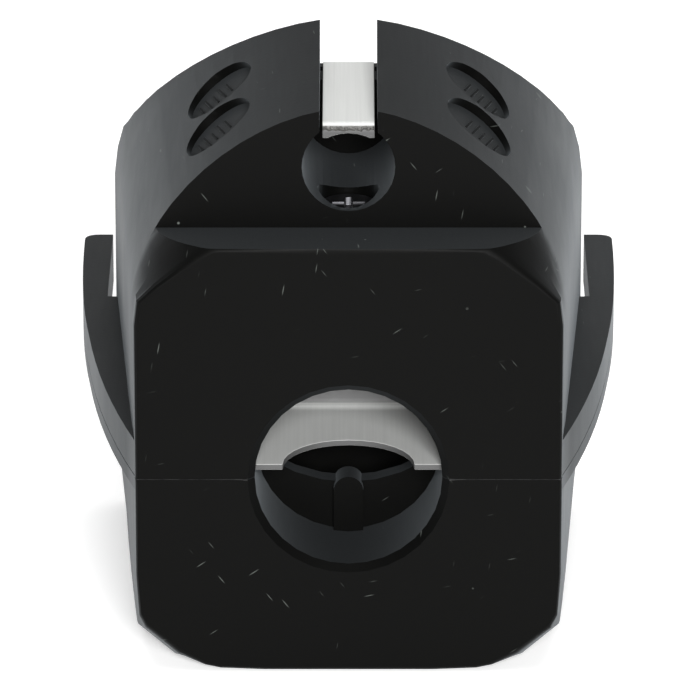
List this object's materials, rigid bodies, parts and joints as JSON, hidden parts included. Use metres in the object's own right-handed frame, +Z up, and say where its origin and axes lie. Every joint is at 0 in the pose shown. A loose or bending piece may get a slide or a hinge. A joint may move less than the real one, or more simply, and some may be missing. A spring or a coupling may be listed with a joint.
{
  "type": "fence insulator",
  "caption": "Electric gate fence insulator: two-part black housing forked round a post, with a hook socket, a slotted wire hole and a stainless contact strap.",
  "frame": {"origin": "middle of the overall width and depth, on the underside", "axes": "-Y out of the front face with the hook socket, +Z up through the crown, +X to the right seen from the front"},
  "size_m": [0.0568, 0.061, 0.0598],
  "materials": {
    "black_nylon": "satin moulded",
    "stainless": "rolled stainless sheet",
    "zinc_steel": "zinc plated"
  },
  "bodies": {
    "housing": {"upper_housing": "black_nylon", "lower_housing": "black_nylon", "contact_strap": "stainless", "terminal_nut": "stainless", "housing_screw_front_left": "zinc_steel", "housing_screw_front_right": "zinc_steel", "housing_screw_rear_left": "zinc_steel", "housing_screw_rear_right": "zinc_steel"},
    "terminal": {"terminal_screw": "stainless"}
  },
  "joints": [
    {"name": "terminal_screw_lift", "type": "slide", "parent": "housing", "child": "terminal", "axis": [0, 0, 1], "range_m": [0, 0.0028]}
  ]
}
